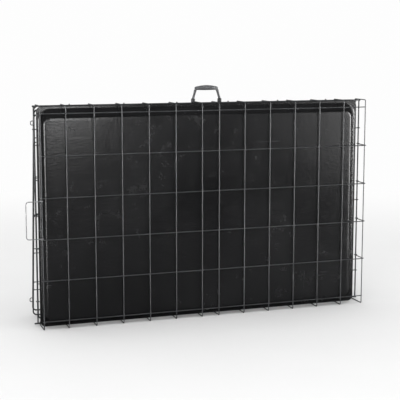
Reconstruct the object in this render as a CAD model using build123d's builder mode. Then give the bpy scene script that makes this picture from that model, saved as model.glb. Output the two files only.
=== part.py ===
from build123d import *
import math
import os

# Folding wire dog crate, 48 x 30 inch class, in its stored state: folded flat,
# standing on one long edge with the carry handle on top.
# X runs along the crate's length (-X is the end where the pan slides out),
# +Z is up, and the floor grid's underside faces -Y.
# The origin is on the ground, under the centre of the overall box.

os.makedirs("parts", exist_ok=True)

# ---------------------------------------------------------------- dimensions (mm)
X_SHIFT = 18.0           # puts the origin under the centre of the overall box
Y_SHIFT = -105.459

W = 762.0                # crate width = height of the floor grid on its edge
WIRE = 3.4               # mesh wire
ROD = 5.6                # rim rods of the base
FRAME = 5.0              # perimeter rods of the folding panels
GAP = 0.02               # weld gap between wires of one panel

PITCH = 96.2
CROSS_X = [31.45 + PITCH * i for i in range(6)] + [598.8]
CROSS_X = sorted([-x for x in CROSS_X] + CROSS_X)
LONG_Z = [W / 2 + s * z for z in (70.6, 211.8, 353.0) for s in (-1, 1)]
LIP = 78.0               # depth of the base lips to the rim rod centre
LONG_Y = WIRE + GAP      # long floor wires lie on the cross wires
BEND = 6.0
ROD_Z0 = 6.4             # lower rim rod centre height
ROD_Z1 = W - ROD_Z0
REAR_LIP_X = 608.0
REAR_ROD_X = REAR_LIP_X + WIRE / 2 + ROD / 2 + GAP
FRONT_ROD_X = -606.0
RIM_END = 618.0

PAN_Y0 = 6.9             # underside of the flat pan floor
PAN_DEPTH = 31.0
PAN_T = 2.6
PAN_FLOOR = (-585.0, 546.0, 29.0, 721.0)    # x0, x1, z0, z1 of the flat floor
PAN_RIM = (-606.0, 578.0, 4.0, 757.0)       # x0, x1, z0, z1 of the rim

SIDE_X = 603.0           # half length of side A
TOP_X = 600.0            # half length of top and side B
A_LEN = 749.0            # side A: base pivot to top pivot
A_OFF = 10.0             # side A: rod plane outside the base pivot
T_LEN = 758.0            # top: pivot to pivot
T_OFF = 9.5
B_LEN = 725.0            # side B: pivot to lower rail
B_OFF = 9.0
SPLAY = 7.97             # degrees the top and side B stand off at the foot
START = 14.0             # first rail of each panel past its pivot
CORNER = 14.0            # corner radius of the panel frames
FIT = 0.08               # hinge loop running clearance, radial
STEM_END = 5.0           # hinge stems stop this short of the rail's centre

UPRIGHTS = [PITCH / 2 + PITCH * i for i in range(6)]
UPRIGHTS = sorted([-x for x in UPRIGHTS] + UPRIGHTS)
LOOPS = [-480.9, -288.6, -96.2, 96.2, 288.6, 480.9]
A_LOOPS = [-464.3, -271.9, -79.5, 79.5, 271.9, 464.3]

# side door in side B, local coordinates (u along X, v from the top pivot down)
DOOR_U0, DOOR_U1 = 46.0, 495.0
DOOR_V0, DOOR_V1 = 101.0, 634.0
JAMB_U0, JAMB_U1 = 36.0, 505.0
HEAD_V, SILL_V = 91.0, 644.0
BOLT_V = (205.0, 530.0)
BOLT_W = 13.0
BOLT_D = 5.0

# pan stop loop
LOOP_X = -653.0
LOOP_Z0, LOOP_Z1 = 316.0, 443.0
LOOP_D = 3.0

# handle
HANDLE_X = 9.8
FOOT_X = 49.5
GRIP_X = 39.0
GRIP_Z = 808.7

S = math.radians(SPLAY)


def at(x, y, z):
    return Vector(x + X_SHIFT, y + Y_SHIFT, z)


# pivots of the folding chain (y, z)
PIV_A = (LIP, ROD_Z0)
PIV_T = (LIP + A_OFF, ROD_Z0 + A_LEN)
PIV_B = (PIV_T[0] + T_LEN * math.sin(S) + T_OFF * math.cos(S),
         PIV_T[1] - T_LEN * math.cos(S) + T_OFF * math.sin(S))


def on_a(u, v, w=0.0):
    return at(u, PIV_A[0] + A_OFF + w, PIV_A[1] + v)


def on_t(u, v, w=0.0):
    n = T_OFF + w
    return at(u, PIV_T[0] + v * math.sin(S) + n * math.cos(S),
              PIV_T[1] - v * math.cos(S) + n * math.sin(S))


def on_b(u, v, w=0.0):
    n = B_OFF + w
    return at(u, PIV_B[0] - v * math.sin(S) + n * math.cos(S),
              PIV_B[1] + v * math.cos(S) + n * math.sin(S))


REAR_Y = 68.0            # folded planes of the two end panels
FRONT_Y = 50.0
END_Z0, END_Z1 = 17.5, 744.5
END_LEN = 726.0
REAR_START = 24.0        # first rail of the rear panel past its rim rod


def on_rear(u, v, w=0.0):
    # u across the crate (Z when folded), v from the rear rim rod inwards
    return at(REAR_ROD_X - v, REAR_Y + w, u)


def on_front(u, v, w=0.0):
    return at(FRONT_ROD_X + v, FRONT_Y + w, u)


# ---------------------------------------------------------------- wire makers
def rod(a, b, d):
    """Straight round wire from a to b."""
    with BuildPart() as r:
        with BuildSketch(Plane(origin=a, z_dir=b - a)):
            Circle(d / 2)
        extrude(amount=(b - a).length)
    return r.part


def bent(points, d, radius):
    """Round wire along straight runs joined by arcs."""
    with BuildPart() as r:
        with BuildLine() as path:
            FilletPolyline(*points, radius=radius)
        with BuildSketch(Plane(origin=path.line @ 0, z_dir=path.line % 0)):
            Circle(d / 2)
        sweep(path=path.line)
    return r.part


def loop(centre, axis, rod_d, wire_d, toward, stem_end):
    """Hinge loop: a closed curl of wire round a rod, with a stem to its panel."""
    major = rod_d / 2 + FIT + wire_d / 2
    with BuildPart() as r:
        with Locations(Plane(origin=centre, z_dir=axis)):
            Torus(major, wire_d / 2)
        start = centre + toward.normalized() * major
        with BuildSketch(Plane(origin=start, z_dir=stem_end - start)):
            Circle(wire_d / 2)
        extrude(amount=(stem_end - start).length)
    return r.part


def frame_pieces(on, u0, u1, v0, v1, d=FRAME, r=CORNER):
    """Two straight rails, two straight stiles and four round corners."""
    k = r + 6
    pieces = [rod(on(u0 + k + GAP, v0), on(u1 - k - GAP, v0), d),
              rod(on(u0 + k + GAP, v1), on(u1 - k - GAP, v1), d),
              rod(on(u0, v0 + k + GAP), on(u0, v1 - k - GAP), d),
              rod(on(u1, v0 + k + GAP), on(u1, v1 - k - GAP), d)]
    for ue, su in ((u0, 1), (u1, -1)):
        for ve, sv in ((v0, 1), (v1, -1)):
            pieces.append(bent([on(ue + su * k, ve), on(ue, ve), on(ue, ve + sv * k)], d, r))
    return pieces


UP_W = FRAME / 2 + WIRE / 2 + GAP          # upright wires lie outside the frame
CROSS_W = UP_W - WIRE - GAP                # cross wires lie under the uprights
END_CUT = FRAME / 2 + 0.05

# ---------------------------------------------------------------- base grid
RUN = BEND + 4.0         # the straight run of a floor wire ends here, where its lip begins
cross_wire = rod(at(0, 0, WIRE / 2 + RUN), at(0, 0, W - WIRE / 2 - RUN), WIRE)
with BuildPart() as floor_cross_wires:
    with Locations(*[(x, 0, 0) for x in CROSS_X]):
        add(cross_wire)
floor_cross_wires.part.label = "floor_cross_wires"
export_step(floor_cross_wires.part, "parts/floor_cross_wires.step")

long_end = CROSS_X[0] - 4.0
with BuildPart() as floor_long_wires:
    for z in LONG_Z:
        if abs(z - W / 2) > 300:
            add(rod(at(long_end, LONG_Y, z), at(CROSS_X[-1] + 4.0, LONG_Y, z), WIRE))
        else:
            add(rod(at(long_end, LONG_Y, z), at(REAR_LIP_X - RUN, LONG_Y, z), WIRE))
floor_long_wires.part.label = "floor_long_wires"
export_step(floor_long_wires.part, "parts/floor_long_wires.step")

lip_wire_low = bent([at(0, 0, WIRE / 2 + RUN), at(0, 0, WIRE / 2),
                     at(0, LIP + 5, WIRE / 2)], WIRE, BEND)
with BuildPart() as lower_lip_wires:
    with Locations(*[(x, 0, 0) for x in CROSS_X]):
        add(lip_wire_low)
lower_lip_wires.part.label = "lower_lip_wires"
export_step(lower_lip_wires.part, "parts/lower_lip_wires.step")

lip_wire_high = bent([at(0, 0, W - WIRE / 2 - RUN), at(0, 0, W - WIRE / 2),
                      at(0, LIP + 5, W - WIRE / 2)], WIRE, BEND)
with BuildPart() as upper_lip_wires:
    with Locations(*[(x, 0, 0) for x in CROSS_X]):
        add(lip_wire_high)
upper_lip_wires.part.label = "upper_lip_wires"
export_step(upper_lip_wires.part, "parts/upper_lip_wires.step")

with BuildPart() as rear_lip_wires:
    for z in LONG_Z:
        if abs(z - W / 2) < 300:
            add(bent([at(REAR_LIP_X - RUN, LONG_Y, z), at(REAR_LIP_X, LONG_Y, z),
                      at(REAR_LIP_X, LIP + 5, z)], WIRE, BEND))
rear_lip_wires.part.label = "rear_lip_wires"
export_step(rear_lip_wires.part, "parts/rear_lip_wires.step")

with BuildPart() as lower_rim_rod:
    add(rod(at(-RIM_END, LIP, ROD_Z0), at(RIM_END, LIP, ROD_Z0), ROD))
lower_rim_rod.part.label = "lower_rim_rod"
export_step(lower_rim_rod.part, "parts/lower_rim_rod.step")

with BuildPart() as upper_rim_rod:
    add(rod(at(-RIM_END, LIP, ROD_Z1), at(RIM_END, LIP, ROD_Z1), ROD))
upper_rim_rod.part.label = "upper_rim_rod"
export_step(upper_rim_rod.part, "parts/upper_rim_rod.step")

with BuildPart() as rear_rim_rod:
    add(rod(at(REAR_ROD_X, LIP, ROD_Z0 + ROD / 2 + 0.05),
            at(REAR_ROD_X, LIP, ROD_Z1 - ROD / 2 - 0.05), FRAME))
rear_rim_rod.part.label = "rear_rim_rod"
export_step(rear_rim_rod.part, "parts/rear_rim_rod.step")

with BuildPart() as front_rim_rod:
    add(rod(at(FRONT_ROD_X, LIP, ROD_Z0 + ROD / 2 + 0.05),
            at(FRONT_ROD_X, LIP, ROD_Z1 - ROD / 2 - 0.05), FRAME))
front_rim_rod.part.label = "front_rim_rod"
export_step(front_rim_rod.part, "parts/front_rim_rod.step")

# ---------------------------------------------------------------- pan
def pan_outline(y, x0, x1, z0, z1, r):
    cx, cz = (x0 + x1) / 2, (z0 + z1) / 2
    with BuildSketch(Plane(origin=at(cx, y, cz), x_dir=(1, 0, 0), z_dir=(0, 1, 0))) as s:
        RectangleRounded(x1 - x0, z1 - z0, r)
    return s.sketch


fx0, fx1, fz0, fz1 = PAN_FLOOR
rx0, rx1, rz0, rz1 = PAN_RIM
FLANGE = 7.0
PAN_Y1 = PAN_Y0 + PAN_DEPTH
t = PAN_T
with BuildPart() as pan:
    loft(sections=[pan_outline(PAN_Y0, fx0, fx1, fz0, fz1, 26),
                   pan_outline(PAN_Y1, rx0 + FLANGE, rx1 - FLANGE, rz0 + FLANGE, rz1 - FLANGE, 43)])
    loft(sections=[pan_outline(PAN_Y0 + t, fx0 + t, fx1 - t, fz0 + t, fz1 - t, 23.5),
                   pan_outline(PAN_Y1 + 0.5, rx0 + FLANGE + t, rx1 - FLANGE - t,
                               rz0 + FLANGE + t, rz1 - FLANGE - t, 40.5)],
         mode=Mode.SUBTRACT)
    with BuildSketch(Plane(origin=at((rx0 + rx1) / 2, PAN_Y1 - t, (rz0 + rz1) / 2),
                           x_dir=(1, 0, 0), z_dir=(0, 1, 0))):
        RectangleRounded(rx1 - rx0, rz1 - rz0, 20)
        RectangleRounded(rx1 - rx0 - 2 * FLANGE - 1.5, rz1 - rz0 - 2 * FLANGE - 1.5, 43,
                         mode=Mode.SUBTRACT)
    extrude(amount=t)
pan.part.label = "pan"
export_step(pan.part, "parts/pan.step")

ring_major = WIRE / 2 + FIT + LOOP_D / 2
with BuildPart() as pan_stop_loop:
    add(bent([at(CROSS_X[0], -ring_major, LOOP_Z1), at(LOOP_X, -ring_major, LOOP_Z1),
              at(LOOP_X, -ring_major, LOOP_Z0), at(CROSS_X[0], -ring_major, LOOP_Z0)],
             LOOP_D, 8.0))
    for z in (LOOP_Z0, LOOP_Z1):
        with Locations(Plane(origin=at(CROSS_X[0], 0, z), z_dir=(0, 0, 1))):
            Torus(ring_major, LOOP_D / 2)
pan_stop_loop.part.label = "pan_stop_loop"
export_step(pan_stop_loop.part, "parts/pan_stop_loop.step")

# ---------------------------------------------------------------- rear end panel
with BuildPart() as rear_panel_frame:
    for piece in frame_pieces(on_rear, END_Z0, END_Z1, REAR_START, END_LEN):
        add(piece)
rear_panel_frame.part.label = "rear_panel_frame"
export_step(rear_panel_frame.part, "parts/rear_panel_frame.step")

END_UP = [END_Z0 + (END_Z1 - END_Z0) * i / 8 for i in range(1, 8)]
END_CROSS = [START + (END_LEN - START) * i / 6 for i in range(1, 6)]
with BuildPart() as rear_panel_upright_wires:
    for u in END_UP:
        add(rod(on_rear(u, REAR_START - 2, -UP_W), on_rear(u, END_LEN + 2, -UP_W), WIRE))
rear_panel_upright_wires.part.label = "rear_panel_upright_wires"
export_step(rear_panel_upright_wires.part, "parts/rear_panel_upright_wires.step")

with BuildPart() as rear_panel_cross_wires:
    for v in END_CROSS:
        add(rod(on_rear(END_Z0 + END_CUT, v, -CROSS_W), on_rear(END_Z1 - END_CUT, v, -CROSS_W), WIRE))
rear_panel_cross_wires.part.label = "rear_panel_cross_wires"
export_step(rear_panel_cross_wires.part, "parts/rear_panel_cross_wires.step")

with BuildPart() as rear_panel_hinge_loops:
    for z in (110.0, 381.0, 652.0):
        add(loop(at(REAR_ROD_X, LIP, z), Vector(0, 0, 1), FRAME, WIRE,
                 Vector(-1, -0.5, 0), on_rear(z, REAR_START - STEM_END, 0)))
rear_panel_hinge_loops.part.label = "rear_panel_hinge_loops"
export_step(rear_panel_hinge_loops.part, "parts/rear_panel_hinge_loops.step")

# ---------------------------------------------------------------- front end panel
FD_U0, FD_U1, FD_V0, FD_V1 = 160.0, 560.0, 96.0, 640.0      # door frame
FJ_U0, FJ_U1 = 150.0, 570.0                                  # door posts
F_HEAD, F_SILL = 650.0, 86.0
with BuildPart() as front_panel_frame:
    for piece in frame_pieces(on_front, END_Z0, END_Z1, START, END_LEN):
        add(piece)
front_panel_frame.part.label = "front_panel_frame"
export_step(front_panel_frame.part, "parts/front_panel_frame.step")

with BuildPart() as front_panel_door_posts:
    for u in (FJ_U0, FJ_U1):
        add(rod(on_front(u, START + END_CUT), on_front(u, END_LEN - END_CUT), FRAME))
    for v in (F_SILL, F_HEAD):
        add(rod(on_front(FJ_U0 + END_CUT, v), on_front(FJ_U1 - END_CUT, v), FRAME))
front_panel_door_posts.part.label = "front_panel_door_posts"
export_step(front_panel_door_posts.part, "parts/front_panel_door_posts.step")

with BuildPart() as front_panel_upright_wires:
    for u in (62.0, 106.0, 612.0, 656.0, 700.0):
        add(rod(on_front(u, START - 2, -UP_W), on_front(u, END_LEN + 2, -UP_W), WIRE))
    for u in (240.0, 320.0, 400.0, 480.0):
        add(rod(on_front(u, START - 2, -UP_W), on_front(u, F_SILL + 2, -UP_W), WIRE))
        add(rod(on_front(u, F_HEAD - 2, -UP_W), on_front(u, END_LEN + 2, -UP_W), WIRE))
front_panel_upright_wires.part.label = "front_panel_upright_wires"
export_step(front_panel_upright_wires.part, "parts/front_panel_upright_wires.step")

with BuildPart() as front_panel_cross_wires:
    for v in END_CROSS:
        add(rod(on_front(END_Z0 + END_CUT, v, -CROSS_W), on_front(FJ_U0 - END_CUT, v, -CROSS_W), WIRE))
        add(rod(on_front(FJ_U1 + END_CUT, v, -CROSS_W), on_front(END_Z1 - END_CUT, v, -CROSS_W), WIRE))
front_panel_cross_wires.part.label = "front_panel_cross_wires"
export_step(front_panel_cross_wires.part, "parts/front_panel_cross_wires.step")

with BuildPart() as front_panel_hinge_loops:
    for z in (84.0, 381.0, 678.0):
        add(loop(at(FRONT_ROD_X, LIP, z), Vector(0, 0, 1), FRAME, WIRE,
                 Vector(0.35, -1, 0), on_front(z, START - 1, FRAME / 2 + 0.1)))
front_panel_hinge_loops.part.label = "front_panel_hinge_loops"
export_step(front_panel_hinge_loops.part, "parts/front_panel_hinge_loops.step")

with BuildPart() as front_door_frame:
    for piece in frame_pieces(on_front, FD_U0, FD_U1, FD_V0, FD_V1):
        add(piece)
front_door_frame.part.label = "front_door_frame"
export_step(front_door_frame.part, "parts/front_door_frame.step")

with BuildPart() as front_door_wires:
    for u in (240.0, 320.0, 400.0, 480.0):
        add(rod(on_front(u, FD_V0 - 2, -UP_W), on_front(u, FD_V1 + 2, -UP_W), WIRE))
    for i in range(1, 5):
        v = FD_V0 + (FD_V1 - FD_V0) * i / 5
        add(rod(on_front(FD_U0 + END_CUT, v, -CROSS_W), on_front(FD_U1 - END_CUT, v, -CROSS_W), WIRE))
front_door_wires.part.label = "front_door_wires"
export_step(front_door_wires.part, "parts/front_door_wires.step")

with BuildPart() as front_door_hinge_loops:
    for v in (170.0, 566.0):
        add(loop(on_front(FJ_U1, v), Vector(1, 0, 0), FRAME, WIRE, Vector(0, 0, -1),
                 on_front(FD_U1 + FRAME / 2 + 0.1, v)))
front_door_hinge_loops.part.label = "front_door_hinge_loops"
export_step(front_door_hinge_loops.part, "parts/front_door_hinge_loops.step")

with BuildPart() as front_door_bolts:
    for v in (220.0, 516.0):
        add(rod(on_front(157.0, v, 5.8), on_front(236.0, v, 5.8), 4.6))
front_door_bolts.part.label = "front_door_bolts"
export_step(front_door_bolts.part, "parts/front_door_bolts.step")

# ---------------------------------------------------------------- side A
with BuildPart() as side_a_frame:
    for piece in frame_pieces(on_a, -SIDE_X, SIDE_X, START, A_LEN):
        add(piece)
side_a_frame.part.label = "side_a_frame"
export_step(side_a_frame.part, "parts/side_a_frame.step")

A_CROSS = [START + (A_LEN - START) * i / 6 for i in range(1, 6)]
with BuildPart() as side_a_upright_wires:
    for u in UPRIGHTS:
        add(rod(on_a(u, START - 2, UP_W), on_a(u, A_LEN + 1, UP_W), WIRE))
side_a_upright_wires.part.label = "side_a_upright_wires"
export_step(side_a_upright_wires.part, "parts/side_a_upright_wires.step")

with BuildPart() as side_a_cross_wires:
    for v in A_CROSS:
        add(rod(on_a(-SIDE_X + END_CUT, v, CROSS_W), on_a(SIDE_X - END_CUT, v, CROSS_W), WIRE))
side_a_cross_wires.part.label = "side_a_cross_wires"
export_step(side_a_cross_wires.part, "parts/side_a_cross_wires.step")

with BuildPart() as side_a_hinge_loops:
    for u in A_LOOPS:
        add(loop(at(u, *PIV_A), Vector(1, 0, 0), ROD, WIRE, Vector(0, 1, 0.6),
                 on_a(u, START - STEM_END)))
side_a_hinge_loops.part.label = "side_a_hinge_loops"
export_step(side_a_hinge_loops.part, "parts/side_a_hinge_loops.step")

# ---------------------------------------------------------------- top panel
with BuildPart() as top_frame:
    for piece in frame_pieces(on_t, -TOP_X, TOP_X, START, T_LEN):
        add(piece)
top_frame.part.label = "top_frame"
export_step(top_frame.part, "parts/top_frame.step")

T_CROSS = [START + (T_LEN - START) * i / 6 for i in range(1, 6)]
with BuildPart() as top_upright_wires:
    for u in UPRIGHTS:
        add(rod(on_t(u, START - 2, UP_W), on_t(u, T_LEN + 1, UP_W), WIRE))
top_upright_wires.part.label = "top_upright_wires"
export_step(top_upright_wires.part, "parts/top_upright_wires.step")

with BuildPart() as top_cross_wires:
    for v in T_CROSS:
        add(rod(on_t(-TOP_X + END_CUT, v, CROSS_W), on_t(TOP_X - END_CUT, v, CROSS_W), WIRE))
top_cross_wires.part.label = "top_cross_wires"
export_step(top_cross_wires.part, "parts/top_cross_wires.step")

with BuildPart() as top_hinge_loops:
    for u in LOOPS:
        add(loop(at(u, *PIV_T), Vector(1, 0, 0), FRAME, WIRE, Vector(0, 1, -0.6),
                 on_t(u, START - STEM_END)))
top_hinge_loops.part.label = "top_hinge_loops"
export_step(top_hinge_loops.part, "parts/top_hinge_loops.step")

# small wire hooks on the top panel's ends, which catch the end panels
with BuildPart() as top_end_hooks:
    for sgn in (-1, 1):
        for v in (60.0, 700.0):
            e = sgn * (TOP_X + FRAME / 2 + 0.05)
            add(bent([on_t(e, v - 7), on_t(e + sgn * 9, v - 7), on_t(e + sgn * 9, v + 7),
                      on_t(e, v + 7)], LOOP_D, 4.0))
top_end_hooks.part.label = "top_end_hooks"
export_step(top_end_hooks.part, "parts/top_end_hooks.step")

# ---------------------------------------------------------------- side B
with BuildPart() as side_b_frame:
    for piece in frame_pieces(on_b, -TOP_X, TOP_X, START, B_LEN):
        add(piece)
side_b_frame.part.label = "side_b_frame"
export_step(side_b_frame.part, "parts/side_b_frame.step")

B_FULL = [-529.1, -432.9, -336.7, -240.5, -144.3, -48.1, 562.0]
B_SHORT = [124.0, 202.0, 280.0, 358.0, 436.0]
B_CROSS = [HEAD_V, 229.0, 367.5, 506.0, SILL_V]
with BuildPart() as side_b_upright_wires:
    for u in B_FULL:
        add(rod(on_b(u, START - 2, UP_W), on_b(u, B_LEN + 2, UP_W), WIRE))
    for u in B_SHORT:
        add(rod(on_b(u, START - 2, UP_W), on_b(u, HEAD_V + 2, UP_W), WIRE))
        add(rod(on_b(u, SILL_V - 2, UP_W), on_b(u, B_LEN + 2, UP_W), WIRE))
side_b_upright_wires.part.label = "side_b_upright_wires"
export_step(side_b_upright_wires.part, "parts/side_b_upright_wires.step")

with BuildPart() as side_b_cross_wires:
    for v in B_CROSS:
        add(rod(on_b(-TOP_X + END_CUT, v, CROSS_W), on_b(JAMB_U0 - END_CUT, v, CROSS_W), WIRE))
        add(rod(on_b(JAMB_U1 + END_CUT, v, CROSS_W), on_b(TOP_X - END_CUT, v, CROSS_W), WIRE))
side_b_cross_wires.part.label = "side_b_cross_wires"
export_step(side_b_cross_wires.part, "parts/side_b_cross_wires.step")

with BuildPart() as side_door_posts:
    for u in (JAMB_U0, JAMB_U1):
        add(rod(on_b(u, START + END_CUT), on_b(u, B_LEN - END_CUT), FRAME))
    for v in (HEAD_V, SILL_V):
        add(rod(on_b(JAMB_U0 + END_CUT, v), on_b(JAMB_U1 - END_CUT, v), FRAME))
side_door_posts.part.label = "side_door_posts"
export_step(side_door_posts.part, "parts/side_door_posts.step")

with BuildPart() as side_b_hinge_loops:
    for u in LOOPS:
        add(loop(at(u, *PIV_B), Vector(1, 0, 0), FRAME, WIRE, Vector(0, 1, 0.6),
                 on_b(u, START - STEM_END)))
side_b_hinge_loops.part.label = "side_b_hinge_loops"
export_step(side_b_hinge_loops.part, "parts/side_b_hinge_loops.step")

# hooks below the lower rail, which reach over the base's rim rod
with BuildPart() as side_b_base_hooks:
    for u in (-464.3, -271.9, -79.5, 79.5, 271.9, 464.3):
        add(bent([on_b(u, B_LEN + FRAME / 2 + 0.05, 0), on_b(u, B_LEN + 16, 0),
                  on_b(u, B_LEN + 16, 7)], WIRE, 4.0))
side_b_base_hooks.part.label = "side_b_base_hooks"
export_step(side_b_base_hooks.part, "parts/side_b_base_hooks.step")

# ---------------------------------------------------------------- side door
BN = Vector(0, math.cos(S), math.sin(S))
BV = Vector(0, -math.sin(S), math.cos(S))


def bolt_bracket(u0, u1, v, low):
    """Strip on the wires with an upright ear at each listed end."""
    with BuildPart() as r:
        with BuildSketch(Plane(origin=on_b((u0 + u1) / 2, v, low), x_dir=(1, 0, 0), z_dir=BN)):
            Rectangle(abs(u1 - u0), 16)
        extrude(amount=1.6)
    return r.part


def ear(u, v, low, high):
    """Plate across the bolt with a clearance hole."""
    with BuildPart() as r:
        with BuildSketch(Plane(origin=on_b(u, v, 0), x_dir=BV, z_dir=(1, 0, 0))):
            with Locations((0, (low + high) / 2 * -1)):
                Rectangle(16, high - low)
            with Locations((0, -BOLT_W)):
                Circle(BOLT_D / 2 + 0.35, mode=Mode.SUBTRACT)
        extrude(amount=1.6)
    return r.part


with BuildPart() as side_door_frame:
    for piece in frame_pieces(on_b, DOOR_U0, DOOR_U1, DOOR_V0, DOOR_V1):
        add(piece)
side_door_frame.part.label = "side_door_frame"
export_step(side_door_frame.part, "parts/side_door_frame.step")

with BuildPart() as side_door_wires:
    for u in B_SHORT:
        add(rod(on_b(u, DOOR_V0 - 2, UP_W), on_b(u, DOOR_V1 + 2, UP_W), WIRE))
    for i in range(1, 5):
        v = DOOR_V0 + (DOOR_V1 - DOOR_V0) * i / 5
        add(rod(on_b(DOOR_U0 + END_CUT, v, CROSS_W), on_b(DOOR_U1 - END_CUT, v, CROSS_W), WIRE))
side_door_wires.part.label = "side_door_wires"
export_step(side_door_wires.part, "parts/side_door_wires.step")

with BuildPart() as side_door_hinge_loops:
    for v in (160.0, 367.5 + 70, 575.0):
        add(loop(on_b(JAMB_U1, v), BV, FRAME, WIRE, Vector(-1, 0, 0),
                 on_b(DOOR_U1 + FRAME / 2 + 0.1, v)))
side_door_hinge_loops.part.label = "side_door_hinge_loops"
export_step(side_door_hinge_loops.part, "parts/side_door_hinge_loops.step")

with BuildPart() as side_door_bolt_brackets:
    for v in BOLT_V:
        add(bolt_bracket(44.2, 130.0, v, UP_W + WIRE / 2 + 0.05))
        add(ear(44.2, v, FRAME / 2 + 0.05, 19.0))
        add(ear(128.4, v, UP_W + WIRE / 2 + 0.05, 19.0))
side_door_bolt_brackets.part.label = "side_door_bolt_brackets"
export_step(side_door_bolt_brackets.part, "parts/side_door_bolt_brackets.step")

with BuildPart() as side_door_keepers:
    for v in BOLT_V:
        add(bolt_bracket(22.0, JAMB_U0 + 2.4, v, FRAME / 2 + 0.05))
        add(ear(22.0, v, FRAME / 2 + 0.05, 19.0))
side_door_keepers.part.label = "side_door_keepers"
export_step(side_door_keepers.part, "parts/side_door_keepers.step")


def slide_bolt(v):
    """Round bolt with a finger loop standing off the door."""
    with BuildPart() as r:
        with BuildSketch(Plane(origin=on_b(42.0, v, BOLT_W), x_dir=BV, z_dir=(1, 0, 0))):
            Circle(BOLT_D / 2)
        extrude(amount=96)
        add(bent([on_b(84.0, v, BOLT_W), on_b(84.0, v, 31.0), on_b(108.0, v, 31.0),
                  on_b(108.0, v, BOLT_W)], 4.0, 7.0))
    return r.part


with BuildPart() as side_door_bolt_upper:
    add(slide_bolt(BOLT_V[0]))
side_door_bolt_upper.part.label = "side_door_bolt_upper"
export_step(side_door_bolt_upper.part, "parts/side_door_bolt_upper.step")

with BuildPart() as side_door_bolt_lower:
    add(slide_bolt(BOLT_V[1]))
side_door_bolt_lower.part.label = "side_door_bolt_lower"
export_step(side_door_bolt_lower.part, "parts/side_door_bolt_lower.step")

# ---------------------------------------------------------------- carry handle
SOCKET_R = 6.5
SOCKET_TOP = 771.5
with BuildPart() as carry_handle_sockets:
    for sgn in (-1, 1):
        with BuildSketch(Plane(origin=at(HANDLE_X + sgn * FOOT_X - 5.5, LIP, ROD_Z1), x_dir=(0, 1, 0), z_dir=(1, 0, 0))):
            Circle(SOCKET_R)
            with Locations((0, (SOCKET_TOP - ROD_Z1) / 2)):
                Rectangle(2 * SOCKET_R, SOCKET_TOP - ROD_Z1)
            Circle(ROD / 2 + FIT, mode=Mode.SUBTRACT)
        extrude(amount=11)
carry_handle_sockets.part.label = "carry_handle_sockets"
export_step(carry_handle_sockets.part, "parts/carry_handle_sockets.step")


def grip_section(x, depth, height, z):
    with BuildSketch(Plane(origin=at(HANDLE_X + x, LIP, z), x_dir=(0, 1, 0), z_dir=(1, 0, 0))) as s:
        RectangleRounded(depth, height, height * 0.42)
    return s.sketch


with BuildPart() as carry_handle_grip:
    loft(sections=[grip_section(-GRIP_X - 3, 13, 12, GRIP_Z - 1.5),
                   grip_section(-GRIP_X / 2, 20, 17, GRIP_Z),
                   grip_section(0, 22, 19, GRIP_Z + 0.5),
                   grip_section(GRIP_X / 2, 20, 17, GRIP_Z),
                   grip_section(GRIP_X + 3, 13, 12, GRIP_Z - 1.5)])
    for sgn in (-1, 1):
        with BuildLine() as leg_path:
            Line(at(HANDLE_X + sgn * FOOT_X, LIP, SOCKET_TOP), at(HANDLE_X + sgn * (GRIP_X + 0.5), LIP, GRIP_Z - 2))
        with BuildSketch(Plane(origin=leg_path.line @ 0, x_dir=(0, 1, 0), z_dir=(0, 0, 1))):
            RectangleRounded(11, 7.5, 2.5)
        sweep(path=leg_path.line)
carry_handle_grip.part.label = "carry_handle_grip"
export_step(carry_handle_grip.part, "parts/carry_handle_grip.step")

print("pivots A", at(0, *PIV_A), "T", at(0, *PIV_T), "B", at(0, *PIV_B))
print("door pivot", on_b(JAMB_U1, 0), "axis", BV, "stop loop pivot", at(CROSS_X[0], 0, 380),
      "handle pivot", at(0, LIP, ROD_Z1))
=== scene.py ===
import bpy
import math
import random
from mathutils import Matrix, Vector


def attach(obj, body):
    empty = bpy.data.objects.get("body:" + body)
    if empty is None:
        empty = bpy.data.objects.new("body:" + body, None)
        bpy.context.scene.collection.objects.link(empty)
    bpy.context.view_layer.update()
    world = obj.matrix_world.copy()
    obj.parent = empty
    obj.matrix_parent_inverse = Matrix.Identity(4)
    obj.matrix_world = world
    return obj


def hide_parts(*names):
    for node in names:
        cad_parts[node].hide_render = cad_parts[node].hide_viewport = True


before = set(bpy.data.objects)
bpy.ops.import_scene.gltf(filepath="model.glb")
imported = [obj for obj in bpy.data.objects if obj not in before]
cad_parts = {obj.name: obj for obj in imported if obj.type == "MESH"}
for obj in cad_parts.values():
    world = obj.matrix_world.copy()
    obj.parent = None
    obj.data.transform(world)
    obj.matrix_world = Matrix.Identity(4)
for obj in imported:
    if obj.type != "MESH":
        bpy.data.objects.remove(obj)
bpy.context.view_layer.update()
random.seed(48)

# ------------------------------------------------------------------ design numbers (mm)
X_SHIFT, Y_SHIFT = 18.0, -105.459
W, WIRE, ROD, FRAME, GAP = 762.0, 3.4, 5.6, 5.0, 0.02
PITCH = 96.2
CROSS_X = sorted([s * x for x in [31.45 + PITCH * i for i in range(6)] + [598.8] for s in (-1, 1)])
LONG_Z = [W / 2 + s * z for z in (70.6, 211.8, 353.0) for s in (-1, 1)]
LIP, LONG_Y, BEND = 78.0, WIRE + GAP, 6.0
ROD_Z0 = 6.4
ROD_Z1 = W - ROD_Z0
REAR_LIP_X = 608.0
REAR_ROD_X = REAR_LIP_X + WIRE / 2 + ROD / 2 + GAP
FRONT_ROD_X = -606.0
RIM_END = 618.0
PAN_Y0, PAN_DEPTH, PAN_T, FLANGE = 6.9, 31.0, 2.6, 7.0
PAN_FLOOR = (-585.0, 546.0, 29.0, 721.0)
PAN_RIM = (-606.0, 580.5, 4.0, 757.0)
SIDE_X, TOP_X = 603.0, 600.0
A_LEN, A_OFF, T_LEN, T_OFF, B_LEN, B_OFF = 749.0, 10.0, 758.0, 9.5, 725.0, 9.0
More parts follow.
